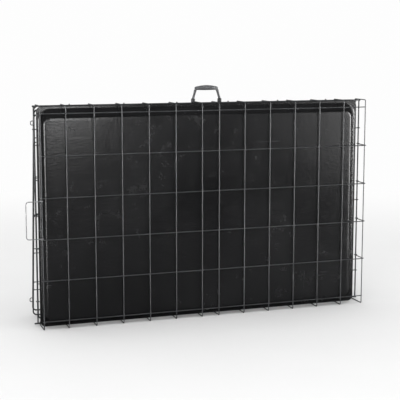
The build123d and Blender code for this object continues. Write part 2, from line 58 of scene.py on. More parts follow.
START, CORNER = 14.0, 14.0
UPRIGHTS = sorted([s * (PITCH / 2 + PITCH * i) for i in range(6) for s in (-1, 1)])
LOOPS = [-480.9, -288.6, -96.2, 96.2, 288.6, 480.9]
A_LOOPS = [-464.3, -271.9, -79.5, 79.5, 271.9, 464.3]
DOOR_U0, DOOR_U1, DOOR_V0, DOOR_V1 = 46.0, 495.0, 101.0, 634.0
JAMB_U0, JAMB_U1, HEAD_V, SILL_V = 36.0, 505.0, 91.0, 644.0
BOLT_V, BOLT_W, BOLT_D = (205.0, 530.0), 13.0, 5.0
LOOP_X, LOOP_Z0, LOOP_Z1, LOOP_D = -653.0, 316.0, 443.0, 3.0
HANDLE_X, FOOT_X, GRIP_X, GRIP_Z, SOCKET_TOP = 9.8, 49.5, 39.0, 808.7, 771.5
S = math.radians(7.97)
UP_W = FRAME / 2 + WIRE / 2 + GAP
CROSS_W = UP_W - WIRE - GAP
END_CUT = FRAME / 2 + 0.05
REAR_Y, FRONT_Y = 68.0, 50.0
REAR_START = 24.0
END_Z0, END_Z1, END_LEN = 17.5, 744.5, 726.0


def at(x, y, z):
    return Vector((x + X_SHIFT, y + Y_SHIFT, z))


PIV_A = (LIP, ROD_Z0)
PIV_T = (LIP + A_OFF, ROD_Z0 + A_LEN)
PIV_B = (PIV_T[0] + T_LEN * math.sin(S) + T_OFF * math.cos(S),
         PIV_T[1] - T_LEN * math.cos(S) + T_OFF * math.sin(S))


def on_a(u, v, w=0.0):
    return at(u, PIV_A[0] + A_OFF + w, PIV_A[1] + v)


def on_t(u, v, w=0.0):
    n = T_OFF + w
    return at(u, PIV_T[0] + v * math.sin(S) + n * math.cos(S),
              PIV_T[1] - v * math.cos(S) + n * math.sin(S))


def on_b(u, v, w=0.0):
    n = B_OFF + w
    return at(u, PIV_B[0] - v * math.sin(S) + n * math.cos(S),
              PIV_B[1] + v * math.cos(S) + n * math.sin(S))


def on_rear(u, v, w=0.0):
    return at(REAR_ROD_X - v, REAR_Y + w, u)


def on_front(u, v, w=0.0):
    return at(FRONT_ROD_X + v, FRONT_Y + w, u)


def on_floor(u, v, w=0.0):
    return at(u, -w, v)


# ------------------------------------------------------------------ mesh makers
def fillet(pts, radius, seg=7):
    out = [pts[0].copy()]
    for i in range(1, len(pts) - 1):
        a, b, c = pts[i - 1], pts[i], pts[i + 1]
        u, w = (a - b).normalized(), (c - b).normalized()
        ang = u.angle(w)
        if ang > 3.1:
            out.append(b.copy())
            continue
        t = min(radius / math.tan(ang / 2), (a - b).length * 0.49, (c - b).length * 0.49)
        rr = t * math.tan(ang / 2)
        centre = b + (u + w).normalized() * (rr / math.sin(ang / 2))
        r0, r1 = b + u * t - centre, b + w * t - centre
        phi, axis = r0.angle(r1), r0.cross(r1).normalized()
        for k in range(seg + 1):
            out.append(centre + Matrix.Rotation(phi * k / seg, 3, axis) @ r0)
    out.append(pts[-1].copy())
    return out


def arc(centre, axis, start, angle, seg):
    return [centre + Matrix.Rotation(angle * k / seg, 3, axis) @ start for k in range(seg + 1)]


class Wires:
    """Collects tubes and weld nuggets into one closed mesh."""

    def __init__(self):
        self.v, self.f = [], []

    def tube(self, pts, d, sides=12, closed=False, sway=0.0, step=45.0):
        r = d / 2
        path = []
        n = len(pts)
        for i in range(n if closed else n - 1):
            a, b = pts[i], pts[(i + 1) % n]
            k = max(1, int((b - a).length / step + 0.5))
            for j in range(k):
                path.append(a.lerp(b, j / k))
        if not closed:
            path.append(pts[-1].copy())
        m = len(path)
        tang = []
        for i in range(m):
            if closed:
                t = path[(i + 1) % m] - path[i - 1]
            else:
                t = path[min(i + 1, m - 1)] - path[max(i - 1, 0)]
            tang.append(t.normalized())
        ref = Vector((0.31, 0.53, 0.79))
        nrm = (ref - tang[0] * ref.dot(tang[0])).normalized()
        normals = [nrm]
        for i in range(1, m):
            q = tang[i - 1].rotation_difference(tang[i])
            nrm = q @ nrm
            nrm = (nrm - tang[i] * nrm.dot(tang[i])).normalized()
            normals.append(nrm)
        if closed:
            q = tang[-1].rotation_difference(tang[0])
            back = q @ normals[-1]
            twist = math.atan2(tang[0].dot(back.cross(normals[0])), back.dot(normals[0]))
            normals = [Matrix.Rotation(twist * i / m, 3, tang[i]) @ x for i, x in enumerate(normals)]
        if sway:
            p1, p2, p3 = (random.uniform(0, 6.28) for _ in range(3))
            length = 0.0
            moved = []
            for i in range(m):
                if i:
                    length += (path[i] - path[i - 1]).length
                b = tang[i].cross(normals[i])
                moved.append(path[i] + normals[i] * sway * (math.sin(length / 61 + p1) + 0.5 * math.sin(length / 23 + p2))
                             + b * sway * math.sin(length / 47 + p3))
            path = moved
        rings = []
        if not closed:
            t0, t1 = tang[0], tang[-1]
            ends = [(0.0, 0.60), (0.10, 0.86), (0.32, 1.0)]
            for off, k in ends:
                rings.append((path[0] + t0 * off * r, r * k, normals[0], t0))
            for i in range(1, m - 1):
                rings.append((path[i], r, normals[i], tang[i]))
            for off, k in reversed(ends):
                rings.append((path[-1] - t1 * off * r, r * k, normals[-1], t1))
        else:
            rings = [(path[i], r, normals[i], tang[i]) for i in range(m)]
        base = len(self.v)
        for c, rad, nn, tt in rings:
            bb = tt.cross(nn)
            for s in range(sides):
                a = 2 * math.pi * s / sides
                self.v.append(c + (nn * math.cos(a) + bb * math.sin(a)) * rad)
        k = len(rings)
        for i in range(k if closed else k - 1):
            for s in range(sides):
                s2 = (s + 1) % sides
                i2 = (i + 1) % k
                self.f.append((base + i * sides + s, base + i * sides + s2, base + i2 * sides + s2, base + i2 * sides + s))
        if not closed:
            self.f.append(tuple(base + s for s in range(sides))[::-1])
            self.f.append(tuple(base + (k - 1) * sides + s for s in range(sides)))

    def blob(self, c, a, b, w, around=10, up=6):
        base = len(self.v)
        self.v.append(c - w)
        for i in range(1, up):
            th = math.pi * i / up
            for s in range(around):
                p = 2 * math.pi * s / around
                self.v.append(c - w * math.cos(th) + (a * math.cos(p) + b * math.sin(p)) * math.sin(th))
        self.v.append(c + w)
        last = len(self.v) - 1
        for s in range(around):
            s2 = (s + 1) % around
            self.f.append((base, base + 1 + s2, base + 1 + s))
            for i in range(up - 2):
                q = base + 1 + i * around
                self.f.append((q + s, q + s2, q + around + s2, q + around + s))
            q = base + 1 + (up - 2) * around
            self.f.append((q + s, q + s2, last))

    def weld(self, on, u, v, w, size=1.0):
        """Flattened bead of coat and flash where two wires are welded."""
        k = size * random.uniform(0.92, 1.1)
        c = on(u, v, w)
        eu, ev, ew = on(u + 1, v, w) - c, on(u, v + 1, w) - c, on(u, v, w + 1) - c
        self.blob(c, eu * 2.15 * k, ev * 2.15 * k, ew * 1.35 * k)

    def make(self, name, body, slot, material, nodes):
        me = bpy.data.meshes.new(name)
        me.from_pydata([p / 1000 for p in self.v], [], self.f)
        me.validate()
        me.update()
        for p in me.polygons:
            p.use_smooth = True
        ob = bpy.data.objects.new(name, me)
        bpy.context.scene.collection.objects.link(ob)
        me.materials.append(material)
        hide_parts(*nodes)
        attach(ob, body)
        return ob


def frame_loop(on, u0, u1, v0, v1, d=FRAME, r=CORNER):
    """One rod bent into a rounded rectangle, with its butt weld in a rail."""
    w = Wires()
    um = (u0 + u1) / 2 + 57
    corners = [on(um, v1), on(u0, v1), on(u0, v0), on(u1, v0), on(u1, v1), on(um, v1)]
    path = fillet(corners, r, 9)[:-1]
    w.tube(path, d, sides=16, closed=True, step=70)
    c = on(um, v1)
    eu, ev, ew = on(um + 1, v1) - c, on(um, v1 + 1) - c, on(um, v1, 1) - c
    w.blob(c, eu * 2.6, ev * (d / 2 + 0.45), ew * (d / 2 + 0.45), 14, 8)
    return w


def grid(on, ups, crosses, rails=(), up_w=UP_W, cross_w=CROSS_W, sway=0.12):
    """Upright and cross wires, each set in a mesh of its own, beads on the uprights."""
    a, b = Wires(), Wires()
    sgn = 1 if up_w > 0 else -1
    for u, v0, v1 in ups:
        a.tube([on(u, v0, up_w), on(u, v1, up_w)], WIRE, sway=sway)
        for v, c0, c1 in crosses:
            if c0 - 3 < u < c1 + 3 and v0 - 1 < v < v1 + 1:
                a.weld(on, u, v, (up_w + cross_w) / 2)
        for v in rails:
            if v0 - 3 < v < v1 + 3:
                a.weld(on, u, v, up_w - sgn * WIRE / 2, 1.1)
    for v, u0, u1 in crosses:
        b.tube([on(u0, v, cross_w), on(u1, v, cross_w)], WIRE, sway=sway)
        for ue in (u0, u1):
            c = on(ue, v, cross_w)
            eu, ev, ew = on(ue + 1, v, cross_w) - c, on(ue, v + 1, cross_w) - c, on(ue, v, cross_w + 1) - c
            b.blob(c, eu * 1.5, ev * 2.2, ew * 2.0)
    return a, b


def hinge_curl(w, centre, axis, rod_d, wire_d, end, turn=305.0, drift=0.5):
    """Open curl of wire round a rod, with a straight stem that ends on its panel."""
    R = rod_d / 2 + 0.08 + wire_d / 2
    axis = axis.normalized()
    d = end - centre
    d -= axis * d.dot(axis)
    D = max(d.length, R * 1.02)
    al = math.acos(R / D)
    if d.cross(Vector((0.0, 1.0, 0.2))).dot(axis) < 0:
        al = -al
    sg = 1 if al > 0 else -1
    start = Matrix.Rotation(al, 3, axis) @ (d.normalized() * R)
    n = 22
    pts = [end]
    for k in range(n + 1):
        a = sg * math.radians(turn) * k / n
        pts.append(centre + Matrix.Rotation(a, 3, axis) @ start + axis * drift * (k / n - 0.5))
    w.tube(pts, wire_d, sides=12, step=8)


# ------------------------------------------------------------------ materials
def nodes_of(name):
    m = bpy.data.materials.new(name)
    m.use_nodes = True
    nt = m.node_tree
    nt.nodes.clear()
    out = nt.nodes.new("ShaderNodeOutputMaterial")
    p = nt.nodes.new("ShaderNodeBsdfPrincipled")
    nt.links.new(p.outputs[0], out.inputs[0])
    tc = nt.nodes.new("ShaderNodeTexCoord")
    return m, nt, p, tc.outputs["Object"], out


def noise(nt, vec, scale, detail=2.0, rough=0.5, stretch=None):
    if stretch:
        mp = nt.nodes.new("ShaderNodeMapping")
        mp.inputs["Scale"].default_value = stretch
        nt.links.new(vec, mp.inputs["Vector"])
        vec = mp.outputs[0]
    n = nt.nodes.new("ShaderNodeTexNoise")
    n.inputs["Scale"].default_value = scale
    n.inputs["Detail"].default_value = detail
    n.inputs["Roughness"].default_value = rough
    nt.links.new(vec, n.inputs["Vector"])
    return n.outputs["Fac"]


def ramp(nt, fac, lo, hi, a=0.0, b=1.0):
    m = nt.nodes.new("ShaderNodeMapRange")
    m.inputs["From Min"].default_value = lo
    m.inputs["From Max"].default_value = hi
    m.inputs["To Min"].default_value = a
    m.inputs["To Max"].default_value = b
    nt.links.new(fac, m.inputs["Value"])
    return m.outputs[0]


def mixc(nt, fac, a, b):
    m = nt.nodes.new("ShaderNodeMix")
    m.data_type = "RGBA"
    for sock, val in ((m.inputs[0], fac), (m.inputs[6], a), (m.inputs[7], b)):
        if isinstance(val, (tuple, list)):
            sock.default_value = (*val, 1.0)
        elif isinstance(val, float):
            sock.default_value = val
        else:
            nt.links.new(val, sock)
    return m.outputs[2]


def math_(nt, op, a, b=None):
    m = nt.nodes.new("ShaderNodeMath")
    m.operation = op
    for i, val in enumerate((a, b)):
        if val is None:
            continue
        if isinstance(val, (int, float)):
            m.inputs[i].default_value = val
        else:
            nt.links.new(val, m.inputs[i])
    return m.outputs[0]


def bump(nt, p, height, strength, distance, below=None):
    b = nt.nodes.new("ShaderNodeBump")
    b.inputs["Strength"].default_value = strength
    b.inputs["Distance"].default_value = distance
    nt.links.new(height, b.inputs["Height"])
    if below is not None:
        nt.links.new(below, b.inputs["Normal"])
    nt.links.new(b.outputs[0], p.inputs["Normal"])
    return b.outputs[0]


def coat_material(name, base, light, rough, spec=0.5, rub=(0.66, 0.76)):
    """Black electro-coat on drawn steel: peel, thin rubbed spots and a dusty bloom."""
    m, nt, p, vec, _ = nodes_of(name)
    cloud = noise(nt, vec, 34, 5, 0.6)
    grain = noise(nt, vec, 900, 2)
    spots = noise(nt, vec, 130, 6, 0.7)
    dull = ramp(nt, cloud, 0.35, 0.7)
    col = mixc(nt, dull, base, tuple(c * 1.7 for c in base))
    worn = ramp(nt, spots, *rub)
    worn = math_(nt, "MULTIPLY", worn, ramp(nt, noise(nt, vec, 9, 2), 0.42, 0.62))
    col = mixc(nt, worn, col, light)
    nt.links.new(col, p.inputs["Base Color"])
    r = ramp(nt, cloud, 0.3, 0.75, rough - 0.07, rough + 0.1)
    r = math_(nt, "ADD", r, math_(nt, "MULTIPLY", worn, 0.12))
    nt.links.new(r, p.inputs["Roughness"])
    p.inputs["Specular IOR Level"].default_value = spec
    p.inputs["Metallic"].default_value = 0.0
    first = bump(nt, p, noise(nt, vec, 260, 3), 0.35, 0.00012)
    bump(nt, p, grain, 0.25, 0.00005, first)
    return m


WIRE_MAT = coat_material("wire_coat", (0.028, 0.029, 0.031), (0.13, 0.13, 0.135), 0.42)
ROD_MAT = coat_material("rod_coat", (0.024, 0.025, 0.027), (0.12, 0.12, 0.125), 0.38)
LOOP_MAT = coat_material("loop_wire", (0.12, 0.12, 0.125), (0.5, 0.5, 0.51), 0.36, 0.7, (0.5, 0.62))


def pan_material():
    """Glossy black moulded plastic with orange peel, soft scuffs and fine scratches."""
    m, nt, p, vec, _ = nodes_of("pan_plastic")
    big = noise(nt, vec, 3.2, 3, 0.55)
    scuff = noise(nt, vec, 22, 7, 0.72)
    lines = noise(nt, vec, 60, 3, 0.6, (0.05, 1.0, 1.6))
    lines2 = noise(nt, vec, 60, 3, 0.6, (1.5, 1.0, 0.05))
    scr = math_(nt, "MAXIMUM", ramp(nt, lines, 0.69, 0.74), ramp(nt, lines2, 0.71, 0.76))
    scr = math_(nt, "MULTIPLY", scr, ramp(nt, big, 0.42, 0.6))
    col = mixc(nt, ramp(nt, big, 0.35, 0.68), (0.0045, 0.0046, 0.0050), (0.0075, 0.0076, 0.0082))
    col = mixc(nt, math_(nt, "MULTIPLY", ramp(nt, scuff, 0.6, 0.74), 0.4), col, (0.018, 0.018, 0.019))
    col = mixc(nt, math_(nt, "MULTIPLY", scr, 0.4), col, (0.035, 0.035, 0.036))
    nt.links.new(col, p.inputs["Base Color"])
    r = ramp(nt, big, 0.3, 0.7, 0.19, 0.25)
    r = math_(nt, "ADD", r, math_(nt, "MULTIPLY", ramp(nt, scuff, 0.5, 0.75), 0.09))
    r = math_(nt, "ADD", r, math_(nt, "MULTIPLY", scr, 0.15))
    nt.links.new(r, p.inputs["Roughness"])
    p.inputs["Specular IOR Level"].default_value = 0.45
    peel = bump(nt, p, noise(nt, vec, 105, 2, 0.4, (1.0, 1.0, 1.5)), 0.55, 0.00055)
    first = bump(nt, p, noise(nt, vec, 260, 2, 0.45), 0.4, 0.0002, peel)
    bump(nt, p, noise(nt, vec, 700, 2), 0.3, 0.00008, first)
    return m


def handle_material(name, base, light, rough):
    """Satin moulded plastic with a spark-eroded grain and polished high spots."""
    m, nt, p, vec, _ = nodes_of(name)
    cloud = noise(nt, vec, 45, 4, 0.6)
    grain = noise(nt, vec, 1500, 3, 0.6)
    col = mixc(nt, ramp(nt, cloud, 0.35, 0.7), base, tuple(c * 1.3 for c in base))
    col = mixc(nt, math_(nt, "MULTIPLY", ramp(nt, grain, 0.55, 0.75), 0.35), col, light)
    nt.links.new(col, p.inputs["Base Color"])
    nt.links.new(ramp(nt, cloud, 0.3, 0.7, rough - 0.06, rough + 0.08), p.inputs["Roughness"])
    p.inputs["Specular IOR Level"].default_value = 0.45
    first = bump(nt, p, noise(nt, vec, 210, 2), 0.2, 0.0002)
    bump(nt, p, grain, 0.45, 0.00009, first)
    return m


PAN_MAT = pan_material()
GRIP_MAT = handle_material("handle_plastic", (0.075, 0.076, 0.080), (0.17, 0.17, 0.175), 0.5)
SOCKET_MAT = handle_material("socket_plastic", (0.018, 0.018, 0.020), (0.05, 0.05, 0.052), 0.42)

# ------------------------------------------------------------------ base: floor grid
cw = Wires()
for x in CROSS_X:
    R = ROD_Z0 - WIRE / 2
    axis = Vector((1, 0, 0))
    low = arc(at(x, LIP, ROD_Z0), axis, Vector((0, 0, -R)), math.radians(242), 16)
    high = arc(at(x, LIP, ROD_Z1), axis, Vector((0, 0, R)), math.radians(-242), 16)
    body_pts = fillet([low[0], at(x, 0, WIRE / 2), at(x, 0, W - WIRE / 2), high[0]], BEND, 8)
    cw.tube(list(reversed(low))[:-1] + body_pts + high[1:], WIRE, step=30, sway=0.08)
    for z in LONG_Z:
        cw.weld(lambda u, v, w: at(u, w, v), x, z, (WIRE + GAP) / 2)
    for z, s in ((ROD_Z0, -1), (ROD_Z1, 1)):
        cw.blob(at(x, LIP, z + s * 2.9), Vector((2.2, 0, 0)), Vector((0, 2.4, 0)), Vector((0, 0, 1.3)))
cw.make("base_cross_wires", "base", "wire_coat", WIRE_MAT,
        ["floor_cross_wires", "lower_lip_wires", "upper_lip_wires"])

lw = Wires()
long_end = CROSS_X[0] - 4.0
for z in LONG_Z:
    if abs(z - W / 2) > 300:
        lw.tube([at(long_end, LONG_Y, z), at(CROSS_X[-1] + 4, LONG_Y, z)], WIRE, step=30, sway=0.08)
    else:
        R = FRAME / 2 + 0.1 + WIRE / 2
        hook = arc(at(REAR_ROD_X, LIP, z), Vector((0, 0, 1)), Vector((-R, 0, 0)), math.radians(-235), 16)
        first = fillet([at(long_end, LONG_Y, z), at(REAR_LIP_X, LONG_Y, z), at(REAR_ROD_X - R, LIP, z)], BEND, 8)
        lw.tube(first[:-1] + hook, WIRE, step=30, sway=0.06)
lw.make("base_long_wires", "base", "wire_coat", WIRE_MAT, ["floor_long_wires", "rear_lip_wires"])


def straight(name, body, a, b, d, slot="rod_coat", mat=None):
    w = Wires()
    w.tube([a, b], d, sides=18, step=60)
    return w.make(name, body, slot, mat or ROD_MAT, [name.replace("_v", "")])


for name, z in (("lower_rim_rod", ROD_Z0), ("upper_rim_rod", ROD_Z1)):
    w = Wires()
    w.tube([at(-RIM_END if z < 300 else -611, LIP, z), at(RIM_END, LIP, z)], ROD, sides=18, step=60)
    for x in (REAR_ROD_X, FRONT_ROD_X):
        s = 1 if z < 300 else -1
        w.blob(at(x, LIP, z + s * 2.6), Vector((3.3, 0, 0)), Vector((0, 3.0, 0)), Vector((0, 0, 1.9)))
    w.make(name + "_coated", "base", "rod_coat", ROD_MAT, [name])
for name, x in (("rear_rim_rod", REAR_ROD_X), ("front_rim_rod", FRONT_ROD_X)):
    w = Wires()
    w.tube([at(x, LIP, ROD_Z0 + 2.2), at(x, LIP, ROD_Z1 - 2.2)], FRAME, sides=18, step=60)
    w.make(name + "_coated", "base", "rod_coat", ROD_MAT, [name])

# ------------------------------------------------------------------ end panels
END_UP = [END_Z0 + (END_Z1 - END_Z0) * i / 8 for i in range(1, 8)]
END_CROSS = [START + (END_LEN - START) * i / 6 for i in range(1, 6)]
frame_loop(on_rear, END_Z0, END_Z1, REAR_START, END_LEN).make(
    "rear_panel_rod_frame", "base", "rod_coat", ROD_MAT, ["rear_panel_frame"])
a, b = grid(on_rear, [(u, REAR_START - 2, END_LEN + 2) for u in END_UP],
            [(v, END_Z0 + END_CUT, END_Z1 - END_CUT) for v in END_CROSS],
            (REAR_START, END_LEN), -UP_W, -CROSS_W)
a.make("rear_panel_uprights", "base", "wire_coat", WIRE_MAT, ["rear_panel_upright_wires"])
b.make("rear_panel_crosses", "base", "wire_coat", WIRE_MAT, ["rear_panel_cross_wires"])
w = Wires()
for z in (110.0, 381.0, 652.0):
    hinge_curl(w, at(REAR_ROD_X, LIP, z), Vector((0, 0, 1)), FRAME, WIRE, on_rear(z, REAR_START - 3.4, 0))
    w.weld(on_rear, z, REAR_START - 1.6, 0)
w.make("rear_panel_curls", "base", "wire_coat", WIRE_MAT, ["rear_panel_hinge_loops"])

FD_U0, FD_U1, FD_V0, FD_V1 = 160.0, 560.0, 96.0, 640.0
FJ_U0, FJ_U1, F_HEAD, F_SILL = 150.0, 570.0, 650.0, 86.0
frame_loop(on_front, END_Z0, END_Z1, START, END_LEN).make(
    "front_panel_rod_frame", "base", "rod_coat", ROD_MAT, ["front_panel_frame"])


def posts(on, us, vs, v_ends, u_ends, w_, name, body, node):
    w = Wires()
    for u in us:
        w.tube([on(u, v_ends[0]), on(u, v_ends[1])], FRAME, sides=16, step=60)
        for v in v_ends:
            c = on(u, v)
            w.blob(c, (on(u + 1, v) - c) * 3.1, (on(u, v + 1) - c) * 1.7, (on(u, v, 1) - c) * 3.0, 12, 6)
    for v in vs:
        w.tube([on(u_ends[0], v), on(u_ends[1], v)], FRAME, sides=16, step=60)
        for u in u_ends:
            c = on(u, v)
            w.blob(c, (on(u + 1, v) - c) * 1.7, (on(u, v + 1) - c) * 3.1, (on(u, v, 1) - c) * 3.0, 12, 6)
    return w.make(name, body, "rod_coat", ROD_MAT, [node])


posts(on_front, (FJ_U0, FJ_U1), (F_SILL, F_HEAD), (START + END_CUT, END_LEN - END_CUT),
      (FJ_U0 + END_CUT, FJ_U1 - END_CUT), 0, "front_panel_posts", "base", "front_panel_door_posts")
ups = [(u, START - 2, END_LEN + 2) for u in (62.0, 106.0, 612.0, 656.0, 700.0)]
for u in (240.0, 320.0, 400.0, 480.0):
    ups += [(u, START - 2, F_SILL + 2), (u, F_HEAD - 2, END_LEN + 2)]
crs = []
for v in END_CROSS:
    crs += [(v, END_Z0 + END_CUT, FJ_U0 - END_CUT), (v, FJ_U1 + END_CUT, END_Z1 - END_CUT)]
a, b = grid(on_front, ups, crs, (START, END_LEN, F_SILL, F_HEAD), -UP_W, -CROSS_W)
a.make("front_panel_uprights", "base", "wire_coat", WIRE_MAT, ["front_panel_upright_wires"])
b.make("front_panel_crosses", "base", "wire_coat", WIRE_MAT, ["front_panel_cross_wires"])
w = Wires()
for z in (84.0, 381.0, 678.0):
    hinge_curl(w, at(FRONT_ROD_X, LIP, z), Vector((0, 0, 1)), FRAME, WIRE, on_front(z, START - 1, FRAME / 2 + 0.1))
    w.weld(on_front, z, START - 0.5, FRAME / 2 + 0.3)
w.make("front_panel_curls", "base", "wire_coat", WIRE_MAT, ["front_panel_hinge_loops"])
frame_loop(on_front, FD_U0, FD_U1, FD_V0, FD_V1).make(
    "front_door_rod_frame", "base", "rod_coat", ROD_MAT, ["front_door_frame"])
a, b = grid(on_front, [(u, FD_V0 - 2, FD_V1 + 2) for u in (240.0, 320.0, 400.0, 480.0)],
            [(FD_V0 + (FD_V1 - FD_V0) * i / 5, FD_U0 + END_CUT, FD_U1 - END_CUT) for i in range(1, 5)],
            (FD_V0, FD_V1), -UP_W, -CROSS_W)
a.v, n0 = a.v, len(a.v)
a.f += [tuple(i + n0 for i in f) for f in b.f]
a.v += b.v
a.make("front_door_mesh", "base", "wire_coat", WIRE_MAT, ["front_door_wires"])
w = Wires()
for v in (170.0, 566.0):
    hinge_curl(w, on_front(FJ_U1, v), Vector((1, 0, 0)), FRAME, WIRE, on_front(FD_U1 + FRAME / 2 - 0.6, v), 300)
    w.weld(on_front, FD_U1 + FRAME / 2 + 0.3, v, 0)
w.make("front_door_curls", "base", "wire_coat", WIRE_MAT, ["front_door_hinge_loops"])
w = Wires()
for v in (220.0, 516.0):
    w.tube([on_front(157.0, v, 5.8), on_front(236.0, v, 5.8)], 4.6, sides=16, step=12)
    for u in (172.0, 222.0):
        pts = arc(on_front(u, v, 5.8), Vector((0, 0, 1)), on_front(u, v - 3.4, 5.8) - on_front(u, v, 5.8), math.radians(360), 20)[:-1]
        w.tube(pts, 1.5, sides=8, closed=True, step=9)
w.make("front_door_bolt_pair", "base", "wire_coat", ROD_MAT, ["front_door_bolts"])

# ------------------------------------------------------------------ side A
frame_loop(on_a, -SIDE_X, SIDE_X, START, A_LEN).make(
    "side_a_rod_frame", "side_a", "rod_coat", ROD_MAT, ["side_a_frame"])
a, b = grid(on_a, [(u, START - 2, A_LEN + 1) for u in UPRIGHTS],
            [(START + (A_LEN - START) * i / 6, -SIDE_X + END_CUT, SIDE_X - END_CUT) for i in range(1, 6)],
            (START, A_LEN))
a.make("side_a_uprights", "side_a", "wire_coat", WIRE_MAT, ["side_a_upright_wires"])
b.make("side_a_crosses", "side_a", "wire_coat", WIRE_MAT, ["side_a_cross_wires"])
w = Wires()
for u in A_LOOPS:
    hinge_curl(w, at(u, *PIV_A), Vector((1, 0, 0)), ROD, WIRE, on_a(u, START - 3.4))
    w.weld(on_a, u, START - 1.8, 0)
w.make("side_a_curls", "side_a", "wire_coat", WIRE_MAT, ["side_a_hinge_loops"])

# ------------------------------------------------------------------ top panel
frame_loop(on_t, -TOP_X, TOP_X, START, T_LEN).make(
    "top_rod_frame", "top", "rod_coat", ROD_MAT, ["top_frame"])
a, b = grid(on_t, [(u, START - 2, T_LEN + 1) for u in UPRIGHTS],
            [(START + (T_LEN - START) * i / 6, -TOP_X + END_CUT, TOP_X - END_CUT) for i in range(1, 6)],
            (START, T_LEN))
a.make("top_uprights", "top", "wire_coat", WIRE_MAT, ["top_upright_wires"])
b.make("top_crosses", "top", "wire_coat", WIRE_MAT, ["top_cross_wires"])
w = Wires()
for u in LOOPS:
    hinge_curl(w, at(u, *PIV_T), Vector((1, 0, 0)), FRAME, WIRE, on_t(u, START - 3.4))
    w.weld(on_t, u, START - 1.8, 0)
w.make("top_curls", "top", "wire_coat", WIRE_MAT, ["top_hinge_loops"])
w = Wires()
for sgn in (-1, 1):
    for v in (60.0, 700.0):
        e = sgn * (TOP_X + FRAME / 2 - 0.6)
        o = sgn * (TOP_X + FRAME / 2 + 9.05)
        w.tube(fillet([on_t(e, v - 7), on_t(o, v - 7), on_t(o, v + 7), on_t(e, v + 7)], 4.5, 7), LOOP_D, sides=12, step=6)
        for dv in (-7, 7):
            w.weld(on_t, sgn * (TOP_X + FRAME / 2 + 0.4), v + dv, 0, 0.85)
w.make("top_end_loops", "top", "wire_coat", WIRE_MAT, ["top_end_hooks"])

# ------------------------------------------------------------------ side B
frame_loop(on_b, -TOP_X, TOP_X, START, B_LEN).make(
    "side_b_rod_frame", "side_b", "rod_coat", ROD_MAT, ["side_b_frame"])
B_FULL = [-529.1, -432.9, -336.7, -240.5, -144.3, -48.1, 562.0]
B_SHORT = [124.0, 202.0, 280.0, 358.0, 436.0]
B_CROSS = [HEAD_V, 229.0, 367.5, 506.0, SILL_V]
ups = [(u, START - 2, B_LEN + 2) for u in B_FULL]
for u in B_SHORT:
    ups += [(u, START - 2, HEAD_V + 2), (u, SILL_V - 2, B_LEN + 2)]
crs = []
for v in B_CROSS:
    crs += [(v, -TOP_X + END_CUT, JAMB_U0 - END_CUT), (v, JAMB_U1 + END_CUT, TOP_X - END_CUT)]
a, b = grid(on_b, ups, crs, (START, B_LEN, HEAD_V, SILL_V))
a.make("side_b_uprights", "side_b", "wire_coat", WIRE_MAT, ["side_b_upright_wires"])
b.make("side_b_crosses", "side_b", "wire_coat", WIRE_MAT, ["side_b_cross_wires"])
posts(on_b, (JAMB_U0, JAMB_U1), (HEAD_V, SILL_V), (START + END_CUT, B_LEN - END_CUT),
      (JAMB_U0 + END_CUT, JAMB_U1 - END_CUT), 0, "side_door_post_rods", "side_b", "side_door_posts")
w = Wires()
for u in LOOPS:
    hinge_curl(w, at(u, *PIV_B), Vector((1, 0, 0)), FRAME, WIRE, on_b(u, START - 3.4))
    w.weld(on_b, u, START - 1.8, 0)
w.make("side_b_curls", "side_b", "wire_coat", WIRE_MAT, ["side_b_hinge_loops"])
w = Wires()
for u in A_LOOPS:
    w.tube(fillet([on_b(u, B_LEN + 1.4, 0), on_b(u, B_LEN + 16, 0), on_b(u, B_LEN + 16, 7)], 4.0, 7), WIRE, step=5)
    w.weld(on_b, u, B_LEN + 2.2, 0)
w.make("side_b_hooks", "side_b", "wire_coat", WIRE_MAT, ["side_b_base_hooks"])

# ------------------------------------------------------------------ side door
frame_loop(on_b, DOOR_U0, DOOR_U1, DOOR_V0, DOOR_V1).make(
    "side_door_rod_frame", "side_door", "rod_coat", ROD_MAT, ["side_door_frame"])
a, b = grid(on_b, [(u, DOOR_V0 - 2, DOOR_V1 + 2) for u in B_SHORT],
            [(DOOR_V0 + (DOOR_V1 - DOOR_V0) * i / 5, DOOR_U0 + END_CUT, DOOR_U1 - END_CUT) for i in range(1, 5)],
            (DOOR_V0, DOOR_V1))
n0 = len(a.v)
a.f += [tuple(i + n0 for i in f) for f in b.f]
a.v += b.v
a.make("side_door_mesh", "side_door", "wire_coat", WIRE_MAT, ["side_door_wires"])
BV = Vector((0, -math.sin(S), math.cos(S)))
w = Wires()
for v in (160.0, 437.5, 575.0):
    hinge_curl(w, on_b(JAMB_U1, v), BV, FRAME, WIRE, on_b(DOOR_U1 + FRAME / 2 - 0.6, v), 300)
    w.weld(on_b, DOOR_U1 + FRAME / 2 + 0.3, v, 0)
w.make("side_door_curls", "side_door", "wire_coat", WIRE_MAT, ["side_door_hinge_loops"])
for v, body in ((BOLT_V[0], "upper"), (BOLT_V[1], "lower")):
    w = Wires()
    w.tube([on_b(42, v, BOLT_W), on_b(138, v, BOLT_W)], BOLT_D, sides=18, step=8)
    w.tube(fillet([on_b(84, v, BOLT_W), on_b(84, v, 31), on_b(108, v, 31), on_b(108, v, BOLT_W)], 7.5, 9), 4.0, sides=14, step=6)
    for u in (84.0, 108.0):
        c = on_b(u, v, BOLT_W + 2.4)
        w.blob(c, (on_b(u + 1, v, BOLT_W + 2.4) - c) * 2.7, (on_b(u, v + 1, BOLT_W + 2.4) - c) * 2.6,
               (on_b(u, v, BOLT_W + 3.4) - c) * 1.2, 12, 6)
    w.make("bolt_rod_" + body, "bolt_" + body, "wire_coat", ROD_MAT, ["side_door_bolt_" + body])


